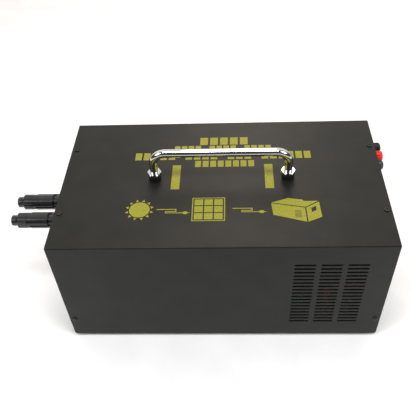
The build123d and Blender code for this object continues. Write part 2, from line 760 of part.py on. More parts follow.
def fan_rotor(place):
    hub_front = -panel_sheet - fan_hub_setback
    blade_length = duct_radius - fan_tip_gap - fan_hub_diameter / 2 + fan_blade_root
    with BuildPart(Plane(place)) as rotor:
        with Locations((0, 0, hub_front)):
            Cylinder(fan_hub_diameter / 2, fan_hub_length, align=hanging)
        fillet(rotor.edges().filter_by(GeomType.CIRCLE), fan_hub_round)
        with Locations((0, 0, hub_front - fan_hub_length / 2)):
            with PolarLocations(fan_hub_diameter / 2 - fan_blade_root + blade_length / 2, fan_blades):
                Box(blade_length, fan_blade_chord, fan_blade_thickness, rotation=(fan_blade_pitch, 0, 0))
        with Locations((0, 0, fan_back)):
            Cylinder(fan_shaft_diameter / 2, fan_thickness / 2, align=standing)
    return rotor


for end, spot in fan_spots.items():
    save(fan_rotor(spots(left_side, [spot])[0]), f"fan_rotor_{end}")

spoke_length = fan_hole_pitch / 2 ** 0.5 - guard_eye_diameter / 2
ring_step = (duct_radius - guard_ring_inner) / (guard_rings - 1)
ring_height = guard_wire / 2 + guard_wire - guard_wire_bite
with BuildPart() as fan_guard:
    with Locations((0, 0, ring_height)):
        for i in range(guard_rings):
            Torus(guard_ring_inner + i * ring_step, guard_wire / 2)
    with Locations((0, 0, guard_wire / 2)):
        with PolarLocations(0, 4, start_angle=45):
            Cylinder(guard_wire / 2, spoke_length, rotation=(0, 90, 0), align=standing)
        with GridLocations(fan_hole_pitch, fan_hole_pitch, 2, 2):
            Torus(guard_eye_diameter / 2, guard_wire / 2)
save_copies(fan_guard, "fan_guards", spots(left_side, fan_spots.values()))
fan_screw = pan_screw(fan_screw_diameter, fan_screw_length, fan_head_diameter, fan_head_height)
half_holes = fan_hole_pitch / 2
fan_screw_spots = [(across + i * half_holes, up + j * half_holes)
                   for across, up in fan_spots.values() for i in (-1, 1) for j in (-1, 1)]
save_copies(fan_screw, "fan_screws", spots(left_side, fan_screw_spots, guard_wire))

# Display: bezel with a neck through the panel, clear window, and a board behind that carries the glass
neck_width = display_width - 2 * display_border
neck_rise = display_rise - 2 * display_border
window_width = neck_width - 2 * display_neck_wall
window_rise = neck_rise - 2 * display_neck_wall
with BuildPart() as display_bezel:
    with BuildSketch(right_side) as bezel_outline:
        with Locations((display_across, display_height)):
            RectangleRounded(display_width, display_rise, display_corner)
    extrude(amount=display_rim)
    chamfer(display_bezel.edges().group_by(Axis.X)[-1], display_chamfer)
    with BuildSketch(right_side.offset(-display_board_depth)):
        with Locations((display_across, display_height)):
            Rectangle(neck_width, neck_rise)
    extrude(amount=display_board_depth)
    with BuildSketch(right_side.offset(-display_board_depth)):
        with Locations((display_across, display_height)):
            Rectangle(window_width, window_rise)
    extrude(amount=display_board_depth + display_rim, mode=Mode.SUBTRACT)
save(display_bezel, "display_bezel")
with BuildPart() as display_window:
    with BuildSketch(right_side.offset(display_rim - window_setback - window_thickness)):
        with Locations((display_across, display_height)):
            Rectangle(window_width, window_rise)
    extrude(amount=window_thickness)
save(display_window, "display_window")
with BuildPart() as display_board:
    with BuildSketch(right_side.offset(-display_board_depth)):
        with Locations((display_board_across, display_height)):
            Rectangle(display_board_width, display_board_rise)
    extrude(amount=-display_board_thickness)
    with BuildSketch(right_side.offset(-display_board_depth)):
        with Locations((display_across, display_height)):
            Rectangle(window_width - 2 * hole_gap, window_rise - 2 * hole_gap)
    extrude(amount=display_glass)
save(display_board, "display_board")


def push_button(place):
    with BuildPart(Plane(place)) as button:
        with Locations((0, 0, -button_stem)):
            Cylinder(button_diameter / 2, button_stem + button_reach, align=standing)
        fillet(button.edges().filter_by(GeomType.CIRCLE).sort_by(Axis.X)[-1], button_dome)
        with Locations((0, 0, -panel_sheet)):
            Cylinder(button_collar_diameter / 2, button_collar_length, align=hanging)
    return button


for action, spot in zip(("down", "up", "enter"), button_spots):
    save(push_button(spots(right_side, [spot])[0]), f"button_{action}")

# Outlets, each a moulded body with two blade slots and a round earth hole
with BuildPart() as outlet:
    with BuildSketch():
        RectangleRounded(outlet_size, outlet_size, outlet_corner)
    extrude(amount=outlet_rim)
    chamfer(outlet.edges().group_by(Axis.Z)[-1], outlet_chamfer)
    Box(outlet_box, outlet_box, outlet_box_depth, align=hanging)
    with Locations((0, 0, outlet_rim)):
        with GridLocations(outlet_slot_spacing, 0, 2, 1):
            Box(outlet_slot_width, outlet_slot_length, outlet_hole_depth, align=hanging, mode=Mode.SUBTRACT)
        with Locations((0, -outlet_earth_drop)):
            Cylinder(outlet_earth_diameter / 2, outlet_hole_depth, align=hanging, mode=Mode.SUBTRACT)
        with GridLocations(0, outlet_screw_spacing, 1, 2):
            Cylinder(outlet_screw_diameter / 2 + thread_fit, outlet_hole_depth, align=hanging,
                     mode=Mode.SUBTRACT)
save_copies(outlet, "outlets", spots(right_side, outlet_spots))
outlet_screw = pan_screw(outlet_screw_diameter, outlet_screw_length, outlet_head_diameter, outlet_head_height)
outlet_screw_spots = [(across, outlet_height + i * outlet_screw_spacing / 2)
                      for across in outlet_places for i in (-1, 1)]
save_copies(outlet_screw, "outlet_screws", spots(right_side, outlet_screw_spots, outlet_rim))

# Power switch: a snap-in body and its rocker, which rests with its lower half pressed in (off)
switch_place = spots(right_side, [(switch_across, switch_height)])[0]
rocker_radius = (rocker_half ** 2 + rocker_edge ** 2) ** 0.5
cavity_rise = 2 * (rocker_radius + rocker_sweep_gap)
cavity_width = switch_width - 2 * (switch_shoulder + switch_wall)
cavity_depth = rocker_pivot_depth + rocker_radius
rocker_width = cavity_width - 2 * rocker_side_gap
rocker_plane = Plane(switch_place).offset(-rocker_pivot_depth)
pin_length = rocker_width + 2 * (rocker_side_gap + rocker_pin_bite)
with BuildPart(Plane(switch_place)) as power_switch_body:
    with BuildSketch(Plane(switch_place)):
        RectangleRounded(switch_width, switch_rise, switch_corner)
    extrude(amount=switch_rim)
    Box(switch_width - 2 * (switch_shoulder + hole_gap), switch_rise - 2 * (switch_shoulder + hole_gap),
        switch_body_depth, align=hanging)
    with Locations((0, 0, switch_rim)):
        Box(cavity_width, cavity_rise, switch_rim + cavity_depth, align=hanging, mode=Mode.SUBTRACT)
    with Locations((0, 0, -rocker_pivot_depth)):
        Cylinder(rocker_pin_diameter / 2 + running_fit, pin_length + 2 * running_fit, rotation=(0, 90, 0),
                 mode=Mode.SUBTRACT)
save(power_switch_body, "power_switch_body")
rocker_rest = Plane(origin=rocker_plane.origin, x_dir=Vector(0, 0, -1).rotate(Axis.Y, rocker_tilt),
                    z_dir=(0, -1, 0))
with BuildPart() as power_switch_rocker:
    with BuildSketch(rocker_rest):
        Polygon((-rocker_half, rocker_edge), (0, rocker_middle), (rocker_half, rocker_edge),
                (rocker_half, -rocker_below), (-rocker_half, -rocker_below), align=None)
    extrude(amount=rocker_width / 2, both=True)
    with Locations(Location(rocker_plane.origin, (90, 0, 0))):
        Cylinder(rocker_pin_diameter / 2, pin_length)
save(power_switch_rocker, "power_switch_rocker")

# Main board on hexagonal standoffs
board_length = case_length - board_left_gap - board_right_gap
board_depth = inner_depth - 2 * board_side_gap
board_x = (left_face + board_left_gap + right_face - board_right_gap) / 2
standoff_x = board_length / 2 - standoff_inset_x
standoff_y = board_depth / 2 - standoff_inset_y
standoff_spots = [(board_x + i * standoff_x, j * standoff_y) for i in (-1, 0, 1) for j in (-1, 1)]
board_screw_hole = board_screw_diameter / 2 + thread_fit
standoff = hex_nut(standoff_flats, 2 * board_screw_hole, standoff_height)
save_copies(standoff, "board_standoffs", [Location((x, y, tray_top)) for x, y in standoff_spots])
with BuildPart() as main_board:
    with BuildSketch(Plane.XY.offset(board_top - board_thickness)):
        with Locations((board_x, 0)):
            Rectangle(board_length, board_depth)
        with Locations(*standoff_spots):
            Circle(board_screw_hole, mode=Mode.SUBTRACT)
    extrude(amount=board_thickness)
save(main_board, "main_board")
board_screw = pan_screw(board_screw_diameter, board_screw_length, board_head_diameter, board_head_height)
save_copies(board_screw, "board_screws", [Location((x, y, board_top)) for x, y in standoff_spots])

# Heat sinks along both sides, with the power transistors against their flat faces
sink_start = left_face + sink_left
fin_pitch = (sink_height - sink_fin) / (sink_fins - 1)
with BuildPart() as heat_sink:
    with BuildSketch(Plane.YZ.offset(sink_start)):
        with Locations((sink_place, board_top)):
            Rectangle(sink_base, sink_height, align=(Align.MIN, Align.MIN))
        for i in range(sink_fins):
            with Locations((sink_place + sink_base, board_top + i * fin_pitch)):
                Rectangle(sink_fin_length, sink_fin, align=(Align.MIN, Align.MIN))
    extrude(amount=sink_length)
with BuildPart() as heat_sinks:
    add(heat_sink.part)
    mirror(heat_sink.part, about=Plane.XZ)
save(heat_sinks, "heat_sinks")
sink_middle = sink_start + sink_length / 2
with BuildPart() as power_transistors:
    with Locations((sink_middle, 0, board_top + transistor_lift)):
        with GridLocations(transistor_pitch, 2 * sink_place - transistor_thickness, transistors_per_sink, 2):
            Box(transistor_width, transistor_thickness, transistor_height, align=standing)
save(power_transistors, "power_transistors")

# Transformers: three double-window cores, each with a winding round its middle leg
core_spots = [Location((left_face + core_left + i * core_pitch, 0, board_top)) for i in range(core_count)]
window_middle = (core_leg + core_window) / 2
with BuildPart() as transformer_core:
    Box(core_width, core_depth, core_height, align=standing)
    with Locations((0, 0, core_yoke)):
        with GridLocations(2 * window_middle, 0, 2, 1):
            Box(core_window, core_depth, core_height - 2 * core_yoke, align=standing, mode=Mode.SUBTRACT)
save_copies(transformer_core, "transformer_cores", core_spots)
with BuildPart() as transformer_winding:
    with BuildSketch(Plane.XY.offset(core_yoke + winding_gap)):
        RectangleRounded(core_leg + 2 * (core_window - winding_gap), core_depth + 2 * winding_bulge,
                         winding_corner)
        Rectangle(core_leg + 2 * winding_gap, core_depth + 2 * winding_gap, mode=Mode.SUBTRACT)
    extrude(amount=core_height - 2 * (core_yoke + winding_gap))
save_copies(transformer_winding, "transformer_windings", core_spots)

# Bus capacitors, and the white terminal block that the outlets' wires leave from
with BuildPart() as bus_capacitors:
    with Locations((right_face - capacitor_right, capacitor_across, board_top)):
        with GridLocations(capacitor_pitch, capacitor_pitch, 2, 2):
            Cylinder(capacitor_diameter / 2, capacitor_height, align=standing)
    fillet(bus_capacitors.edges().group_by(Axis.Z)[-1], capacitor_crimp)
save(bus_capacitors, "bus_capacitors")
with BuildPart() as terminal_block:
    with Locations((right_face - block_right, block_across, board_top)):
        Box(block_length, block_depth, block_height, align=standing)
    with Locations((right_face - block_right, block_across, board_top + block_height)):
        with GridLocations(block_length / block_holes, 0, block_holes, 1):
            Cylinder(block_hole_diameter / 2, block_hole_depth, align=hanging, mode=Mode.SUBTRACT)
save(terminal_block, "terminal_block")


def wire_run(points, diameter):
    """A wire along straight runs joined by arcs as large as the runs allow."""
    corners = [Vector(*p) for p in points]
    radii = []
    for before, corner, after in zip(corners, corners[1:], corners[2:]):
        turn = (corner - before).get_angle(after - corner)
        shorter = min((corner - before).length, (after - corner).length)
        radii.append(arc_share * shorter / tan(radians(turn) / 2))
    print("wire radii", [round(r, 1) for r in radii])
    with BuildPart() as wire:
        with BuildLine() as route:
            FilletPolyline(*corners, radius=radii)
        with BuildSketch(Plane(origin=route.line @ 0, z_dir=route.line % 0)):
            Circle(diameter / 2)
        sweep()
    return wire


# Wires: one neutral and a pair of live ones from the board up along the front wall to the front outlet,
# and one from each solar inlet to the board
outlet_back = right_face - outlet_box_depth


def outlet_wire(start, rise, shift):
    start_x = right_face - start
    end_y = outlet_places[0] + shift
    top_z = cover_bottom + rise
    end_z = top_z - outlet_wire_drop
    return wire_run([(start_x, outlet_wire_across, board_top), (start_x, outlet_wire_across, top_z),
                     (outlet_back - outlet_wire_end, end_y, end_z), (outlet_back, end_y, end_z)],
                    wire_diameter)


save(outlet_wire(neutral_start, neutral_rise, neutral_shift), "neutral_wire")
with BuildPart() as live_wires:
    add(outlet_wire(live_start, live_rise, live_shift).part)
    add(outlet_wire(live_start - live_pitch, live_rise, live_shift + live_pitch).part)
save(live_wires, "live_wires")
inlet_y = [-across for across, up in inlet_spots.values()]
inlet_wire_start = left_face + pin_back
inlet_wire_height = cover_bottom + inlet_height
with BuildPart() as solar_wires:
    for y in inlet_y:
        with BuildLine() as solar_route:
            FilletPolyline((inlet_wire_start, y, inlet_wire_height),
                           (inlet_wire_start + inlet_wire_run, y, inlet_wire_height),
                           (inlet_wire_start + inlet_wire_run, y, board_top),
                           radius=arc_share * inlet_wire_run)
        with BuildSketch(Plane(origin=solar_route.line @ 0, z_dir=solar_route.line % 0)):
            Circle(inlet_wire_diameter / 2)
        sweep(path=solar_route.line)
save(solar_wires, "solar_wires")
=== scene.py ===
import bpy
import bmesh
import json
import math
from mathutils import Matrix, Vector


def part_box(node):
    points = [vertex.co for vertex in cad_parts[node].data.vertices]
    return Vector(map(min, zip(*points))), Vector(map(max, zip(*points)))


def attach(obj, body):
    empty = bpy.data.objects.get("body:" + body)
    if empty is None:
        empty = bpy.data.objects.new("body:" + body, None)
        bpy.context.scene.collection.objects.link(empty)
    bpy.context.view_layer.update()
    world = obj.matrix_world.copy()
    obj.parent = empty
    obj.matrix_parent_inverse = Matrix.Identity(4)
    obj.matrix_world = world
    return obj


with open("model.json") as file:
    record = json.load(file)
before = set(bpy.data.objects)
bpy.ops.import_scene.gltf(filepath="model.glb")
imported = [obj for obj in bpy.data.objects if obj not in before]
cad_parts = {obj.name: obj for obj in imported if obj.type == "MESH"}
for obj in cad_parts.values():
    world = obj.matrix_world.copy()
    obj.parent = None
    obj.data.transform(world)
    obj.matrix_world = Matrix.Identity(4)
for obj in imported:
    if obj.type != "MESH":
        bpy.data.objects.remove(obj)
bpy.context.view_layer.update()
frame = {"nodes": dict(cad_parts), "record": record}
nodes = frame["nodes"]
mm = 0.001
print("frame loaded:", len(nodes), "nodes")

caseLow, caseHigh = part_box("cover")
caseMiddle = (caseLow + caseHigh) / 2
coverTop = caseHigh.z
coverBottom = caseLow.z


def hexColour(code):
    # sRGB hex to the linear colour that the shader takes
    shares = [int(code[i:i + 2], 16) / 255 for i in (0, 2, 4)]
    return [s / 12.92 if s <= 0.04045 else ((s + 0.055) / 1.055) ** 2.4 for s in shares] + [1.0]


def perMetre(size):
    # pattern repeats in a metre, from the real size of one repeat in millimetres
    return 1000 / size


def addNode(tree, kind, settings=None, links=None, stops=()):
    # a number as a name addresses a socket by its place; stops are a colour ramp's places and colours
    node = tree.nodes.new(kind)
    for name, value in (settings or {}).items():
        if isinstance(name, int) or name in node.inputs:
            node.inputs[name].default_value = value
        else:
            setattr(node, name, value)
    for name, socket in (links or {}).items():
        tree.links.new(socket, node.inputs[name])
    for index, (position, code) in enumerate(stops):
        node.color_ramp.elements[index].position = position
        node.color_ramp.elements[index].color = hexColour(code)
    return node


softDetail = 3.0  # octaves of a soft cloud pattern
softStart, softEnd = 0.35, 0.65  # share of a cloud pattern over which one colour turns to the other
patchStart, patchEnd = 0.3, 0.7  # and over which roughness does


def makeSurface(name, look, colour=None, shine=None, bumps=None, stretch=None):
    # look: the shader's own constants. The rest are cloud patterns, each with its blotch in millimetres and
    # its octaves. colour: two colours first. shine: two roughnesses first. bumps: depth and strength last.
    material = bpy.data.materials.new(name)
    material.use_nodes = True
    tree = material.node_tree
    tree.nodes.clear()
    shader = addNode(tree, "ShaderNodeBsdfPrincipled", look)
    addNode(tree, "ShaderNodeOutputMaterial", links={"Surface": shader.outputs["BSDF"]})
    place = addNode(tree, "ShaderNodeTexCoord").outputs["Object"]
    drawn = place
    if stretch:
        drawn = addNode(tree, "ShaderNodeMapping", {"Scale": stretch}, {"Vector": place}).outputs["Vector"]
    if colour:
        first, second, size, detail = colour
        clouds = addNode(tree, "ShaderNodeTexNoise", {"Scale": perMetre(size), "Detail": detail},
                         {"Vector": drawn})
        ramp = addNode(tree, "ShaderNodeValToRGB", links={"Fac": clouds.outputs["Fac"]},
                       stops=((softStart, first), (softEnd, second)))
        tree.links.new(ramp.outputs["Color"], shader.inputs["Base Color"])
    if shine:
        low, high, size, detail = shine
        patches = addNode(tree, "ShaderNodeTexNoise", {"Scale": perMetre(size), "Detail": detail},
                          {"Vector": drawn})
        rough = addNode(tree, "ShaderNodeMapRange",
                        {"From Min": patchStart, "From Max": patchEnd, "To Min": low, "To Max": high},
                        {"Value": patches.outputs["Fac"]})
        tree.links.new(rough.outputs["Result"], shader.inputs["Roughness"])
    if bumps:
        size, detail, depth, strength = bumps
        grain = addNode(tree, "ShaderNodeTexNoise", {"Scale": perMetre(size), "Detail": detail},
                        {"Vector": place})
        raised = addNode(tree, "ShaderNodeBump", {"Strength": strength, "Distance": depth * mm},
                         {"Height": grain.outputs["Fac"]})
        tree.links.new(raised.outputs["Normal"], shader.inputs["Normal"])
    return material, tree, shader, place


# materials, one function for each kind of surface

powderCoat = {"colours": ("191a16", "1f1f1a"), "roughness": (0.36, 0.44), "grain": 0.9, "blotch": 28.0}


def makePowderCoat():
    # polyester powder baked on folded steel: near-black, satin, with a fine orange peel
    grain = powderCoat["grain"]
    return makeSurface("charcoalPowderCoat", {"IOR": 1.5, "Specular IOR Level": 0.19},
                       (*powderCoat["colours"], powderCoat["blotch"], softDetail),
                       (*powderCoat["roughness"], grain, 2.0), (grain, 2.0, 0.03, 0.5))[0]


def makePlated(name, colours, roughness, wear=40.0):
    # plated steel or turned metal: bright, with faint streaks left by polishing
    return makeSurface(name, {"Metallic": 1.0}, (*colours, wear, 6.0), (*roughness, wear, 6.0),
                       (1.5, softDetail, 0.004, 0.15), (0.15, 1.0, 1.0))[0]


def makeMoulded(name, colours, roughness, grain=0.6, depth=0.02, look=None):
    # injection-moulded plastic: even colour; the spark-eroded grain is coarser than real, so that it shows
    return makeSurface(name, {"IOR": 1.53, **(look or {})}, (*colours, 14.0, softDetail),
                       (*roughness, grain, 2.0), (grain, 2.0, depth, 0.5))[0]


def makeConnectorPlastic():
    # glass-filled polyamide, glossy where the mould was polished; painted shade: the slots and other recesses
    # are drawn near-black, darker than the light alone makes them, so that they read as open
    slotWidth = 3.0
    material, tree, shader, place = makeSurface("blackPolyamide", {"IOR": 1.53}, None, (0.16, 0.26, 0.7, 2.0),
                                                (0.7, 2.0, 0.02, 0.5))
    clouds = addNode(tree, "ShaderNodeTexNoise", {"Scale": perMetre(14.0), "Detail": softDetail},
                     {"Vector": place})
    ramp = addNode(tree, "ShaderNodeValToRGB", links={"Fac": clouds.outputs["Fac"]},
                   stops=((softStart, "1a1a1c"), (softEnd, "242426")))
    # painted shade: ambient occlusion finds the slots and recesses, and the base colour there is mixed
    # towards near-black 050505
    recessOcclusion = addNode(tree, "ShaderNodeAmbientOcclusion", {"Distance": slotWidth * mm})
    outsidePaintedShade = addNode(tree, "ShaderNodeMapRange", {"From Min": 0.45, "From Max": 0.9},
                     {"Value": recessOcclusion.outputs["AO"]})
    mix = addNode(tree, "ShaderNodeMix", {"data_type": "RGBA", 6: hexColour("050505")},
                  {"Factor": outsidePaintedShade.outputs["Result"], 7: ramp.outputs["Color"]})
    tree.links.new(mix.outputs[2], shader.inputs["Base Color"])
    return material


def makeRubber(name, colours):
    # moulded rubber: dull, slightly dusty
    return makeSurface(name, {"IOR": 1.52}, (*colours, 6.0, softDetail), (0.7, 0.9, 1.0, softDetail),
                       (0.5, softDetail, 0.03, 0.5))[0]


def makeCircuitBoard():
    # glass-epoxy board: green solder mask over copper tracks, seen as lighter bands
    material, tree, shader, place = makeSurface(
        "greenCircuitBoard", {"IOR": 1.55, "Coat Weight": 0.4, "Coat Roughness": 0.15},
        shine=(0.3, 0.45, 3.0, softDetail))
    tracks = addNode(tree, "ShaderNodeTexBrick",
                     {"Scale": perMetre(9.0), "Mortar Size": 0.05, "Color1": hexColour("14512b"),
                      "Color2": hexColour("1a6136"), "Mortar": hexColour("2f7f48")}, {"Vector": place})
    tree.links.new(tracks.outputs["Color"], shader.inputs["Base Color"])
    raised = addNode(tree, "ShaderNodeBump", {"Strength": 0.4, "Distance": 0.04 * mm},
                     {"Height": tracks.outputs["Fac"]})
    tree.links.new(raised.outputs["Normal"], shader.inputs["Normal"])
    return material


def makeDisplayBoard():
    # the same board with the display's glass block in front of it, grey-green and unlit
    boardDepth = 2.0
    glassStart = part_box("display_board")[0].x + boardDepth * mm
    material, tree, shader, place = makeSurface("displayBoard", {"IOR": 1.5, "Roughness": 0.25},
                                                bumps=(2.0, softDetail, 0.01, 0.3))
    across = addNode(tree, "ShaderNodeSeparateXYZ", links={"Vector": place}).outputs["X"]
    isGlass = addNode(tree, "ShaderNodeMath", {"operation": "GREATER_THAN", 1: glassStart}, {0: across})
    lines = addNode(tree, "ShaderNodeTexWave", {"Scale": perMetre(3.5), "bands_direction": "Z"},
                    {"Vector": place})
    glass = addNode(tree, "ShaderNodeValToRGB", links={"Fac": lines.outputs["Fac"]},
                    stops=((softStart, "6f8069"), (softEnd, "78896f")))
    clouds = addNode(tree, "ShaderNodeTexNoise", {"Scale": perMetre(3.0), "Detail": softDetail},
                     {"Vector": place})
    mask = addNode(tree, "ShaderNodeValToRGB", links={"Fac": clouds.outputs["Fac"]},
                   stops=((softStart, "14512b"), (softEnd, "1f6a3a")))
    mix = addNode(tree, "ShaderNodeMix", {"data_type": "RGBA"},
                  {"Factor": isGlass.outputs[0], 6: mask.outputs["Color"], 7: glass.outputs["Color"]})
    tree.links.new(mix.outputs[2], shader.inputs["Base Color"])
    return material


def makeExtruded():
    # extruded aluminium: pale, with die lines along its length
    material, tree, shader, place = makeSurface("extrudedAluminium", {"Metallic": 1.0},
                                                ("9a9c9e", "b9bbbd", 1.2, 4.0), (0.3, 0.5, 1.2, 4.0),
                                                stretch=(0.02, 1.0, 1.0))
    along = addNode(tree, "ShaderNodeMapping", {"Scale": (0.02, 1.0, 1.0)}, {"Vector": place})
    dieLines = addNode(tree, "ShaderNodeTexNoise", {"Scale": perMetre(1.2), "Detail": 4.0},
                       {"Vector": along.outputs["Vector"]})
    raised = addNode(tree, "ShaderNodeBump", {"Strength": 0.4, "Distance": 0.02 * mm},
                     {"Height": dieLines.outputs["Fac"]})
    tree.links.new(raised.outputs["Normal"], shader.inputs["Normal"])
    return material


def makeWinding():
    # polyester tape over enamelled wire: amber, with the turns showing as rings
    material, tree, shader, place = makeSurface(
        "amberTapedWinding", {"IOR": 1.57, "Coat Weight": 0.5, "Coat Roughness": 0.1},
        shine=(0.25, 0.4, 5.0, softDetail))
    turns = addNode(tree, "ShaderNodeTexWave", {"Scale": perMetre(8.0), "bands_direction": "Z"},
                    {"Vector": place})
    amber = addNode(tree, "ShaderNodeValToRGB", links={"Fac": turns.outputs["Fac"]},
                    stops=((0.2, "a8801a"), (0.8, "d6a92c")))
    raised = addNode(tree, "ShaderNodeBump", {"Strength": 0.5, "Distance": 0.2 * mm},
                     {"Height": turns.outputs["Fac"]})
    tree.links.new(amber.outputs["Color"], shader.inputs["Base Color"])
    tree.links.new(raised.outputs["Normal"], shader.inputs["Normal"])
    return material


def makeCapacitor():
    # aluminium can in a dark shrink sleeve that leaves the crimped top bare
    bareTop = 1.0
    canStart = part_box("bus_capacitors")[1].z - bareTop * mm
    material, tree, shader, place = makeSurface("sleevedCapacitor", {"IOR": 1.5},
                                                shine=(0.25, 0.4, 6.0, softDetail))
    height = addNode(tree, "ShaderNodeSeparateXYZ", links={"Vector": place}).outputs["Z"]
    isTop = addNode(tree, "ShaderNodeMath", {"operation": "GREATER_THAN", 1: canStart}, {0: height})
    shades = []
    for size, first, second in ((12.0, "161b26", "202736"), (4.0, "a4a6a8", "c4c6c8")):
        clouds = addNode(tree, "ShaderNodeTexNoise", {"Scale": perMetre(size), "Detail": softDetail},
                         {"Vector": place})
        shades.append(addNode(tree, "ShaderNodeValToRGB", links={"Fac": clouds.outputs["Fac"]},
                              stops=((softStart, first), (softEnd, second))).outputs["Color"])
    mix = addNode(tree, "ShaderNodeMix", {"data_type": "RGBA"},
                  {"Factor": isTop.outputs[0], 6: shades[0], 7: shades[1]})
    tree.links.new(mix.outputs[2], shader.inputs["Base Color"])
    tree.links.new(isTop.outputs[0], shader.inputs["Metallic"])
    return material


blackPolyamide = makeConnectorPlastic()
# plastics: polished mould for knobs and bezel, dull one for bushes, fans and switch body
glossBlack = makeMoulded("glossBlackAbs", ("101010", "181818"), (0.2, 0.3), 1.2, 0.01)
mattBlack = makeMoulded("mattBlackPbt", ("0f0f0f", "171717"), (0.42, 0.55), 0.6, 0.03)
coat = makePowderCoat()
# metals: mirror chrome, black screws with a low glint, bluish-white zinc, warm nickel, yellow brass, reddish
# copper, and tin as a soft grey
chrome = makePlated("polishedChrome", ("cfcfcd", "dededc"), (0.02, 0.05))
blackOxide = makePlated("blackOxideSteel", ("3a3a3a", "4a4a4a"), (0.3, 0.42), 4.0)
zinc = makePlated("zincPlatedSteel", ("a9abad", "c3c5c7"), (0.22, 0.34), 6.0)
nickel = makePlated("nickelPlatedBrass", ("b9b7b0", "cfcdc6"), (0.15, 0.25), 6.0)
brass = makePlated("turnedBrass", ("b8912f", "d0aa48"), (0.18, 0.3), 5.0)
copper = makePlated("rolledCopper", ("a9633a", "c27b4c"), (0.25, 0.4), 8.0)
tin = makePlated("tinPlatedCopper", ("b5b2a8", "cac7bd"), (0.25, 0.35), 5.0)
# rubbers: matt black feet and a greyer, softer seal
footRubber = makeRubber("blackFootRubber", ("0d0d0d", "181818"))
sealRubber = makeRubber("greySealRubber", ("1c1c1c", "2a2a2a"))
board = makeCircuitBoard()
# screen-printed ink, olive yellow, slightly uneven where the mesh left it thin
ink = makeSurface("oliveScreenInk", {"IOR": 1.5, "Specular IOR Level": 0.3},
                  ("7e7c18", "8c8a1f", 2.5, softDetail), (0.45, 0.6, 1.0, softDetail),
                  (0.6, softDetail, 0.01, 0.4))[0]
# clear acrylic pane with faint dust
acrylic = makeSurface("clearAcrylic", {"IOR": 1.49, "Transmission Weight": 1.0},
                      ("eef2ee", "ffffff", 9.0, softDetail), (0.02, 0.08, 4.0, softDetail))[0]
# sintered ferrite: dark grey ceramic with a fine speckle
ferrite = makeSurface("sinteredFerrite", {"IOR": 1.8}, ("1f1e1e", "33312f", 1.2, softDetail),
                      (0.55, 0.75, 2.0, softDetail), (0.8, softDetail, 0.03, 0.6))[0]
# undyed nylon: milky white, a little light passing through
nylon = makeMoulded("naturalNylon", ("d9d9d2", "ebebe4"), (0.35, 0.5), 0.8, 0.02, {"Subsurface Weight": 0.1})

# a node's own material, made here where no other node shares it
finishes = {
    "cover": coat, "base_tray": coat, "left_panel": coat, "right_panel": coat,
    "case_screws": blackOxide, "fan_screws": blackOxide, "outlet_screws": blackOxide,
    "foot_screws": zinc, "board_screws": zinc, "handle_washers": zinc, "handle_lock_nuts": zinc,
    "post_nuts": zinc, "rubber_feet": footRubber, "handle": chrome, "handle_hex_nuts": chrome,
    "handle_bushes": mattBlack, "post_bushes": mattBlack,
    "solar_inlets": blackPolyamide, "solar_inlet_nuts": blackPolyamide,
    "solar_plug_front": blackPolyamide, "solar_plug_rear": blackPolyamide,
    "gland_nut_front": blackPolyamide, "gland_nut_rear": blackPolyamide,
    "cable_seal_front": sealRubber, "cable_seal_rear": sealRubber,
    "solar_inlet_pins": tin, "plug_contact_front": tin, "plug_contact_rear": tin,
    "post_studs": brass, "post_washer_negative": nickel, "post_washer_positive": nickel,
    "post_washer_earth": nickel, "bus_bars": copper,
    "knob_negative": glossBlack,
    # bright red, as glossy as the black knob
    "knob_positive": makeMoulded("glossRedAbs", ("e02416", "ee3020"), (0.18, 0.28), 1.2, 0.01),
    # blue-grey and satin, for its dark plating
    "knob_earth": makePlated("darkZincPlatedSteel", ("4a5053", "5a6063"), (0.34, 0.46), 4.0),
    "fan_frames": mattBlack, "fan_rotor_front": mattBlack, "fan_rotor_rear": mattBlack,
    # drawn wire under bright plating: sharp, slightly wavy glints
    "fan_guards": makePlated("brightPlatedWire", ("c4c4c2", "dededc"), (0.1, 0.2), 10.0),
    "display_bezel": glossBlack, "display_window": acrylic, "display_board": makeDisplayBoard(),
    "button_down": glossBlack, "button_up": glossBlack, "button_enter": glossBlack,
    # outlet faces, between gloss and matt
    "outlets": makeMoulded("blackPolycarbonate", ("121212", "1b1b1b"), (0.28, 0.4), 0.8, 0.02),
    "power_switch_body": mattBlack,
    # deep red with a clear gloss
    "power_switch_rocker": makeMoulded("redPolycarbonate", ("a3190f", "b82217"), (0.22, 0.32), 1.0, 0.01),
    "main_board": board, "board_standoffs": brass, "heat_sinks": makeExtruded(),
    # filled epoxy, dull as slate
    "power_transistors": makeMoulded("blackMouldingEpoxy", ("121212", "1c1c1c"), (0.55, 0.7), 0.4, 0.03),
    "transformer_cores": ferrite, "transformer_windings": makeWinding(),
    "bus_capacitors": makeCapacitor(), "terminal_block": nylon,
    # extruded wire jackets: strong colour, soft gloss
    "neutral_wire": makeMoulded("blueWireJacket", ("16489c", "1e57b4"), (0.3, 0.4), 2.0, 0.01),
    "live_wires": makeMoulded("redWireJacket", ("b01c12", "c82a1c"), (0.3, 0.4), 2.0, 0.01),
    "solar_wires": makeMoulded("blackWireJacket", ("141414", "1e1e1e"), (0.3, 0.4), 2.0, 0.01)}

for name, node in nodes.items():
    node.data.materials.clear()
    node.data.materials.append(finishes[name])
print("materials on", len(finishes), "nodes")


# printed marks, as thin raised ink; outlines are in millimetres on the surface that they lie on

def rectangle(x, y, width, height):
    # from its lower left corner
    return [(x, y), (x + width, y), (x + width, y + height), (x, y + height)]


def circle(x, y, radius, points=48, squash=1.0):
    turn = 2 * math.pi / points
    return [(x + radius * math.cos(i * turn), y + radius * squash * math.sin(i * turn))
            for i in range(points)]


inkThickness = 0.08
labelThickness = 0.05


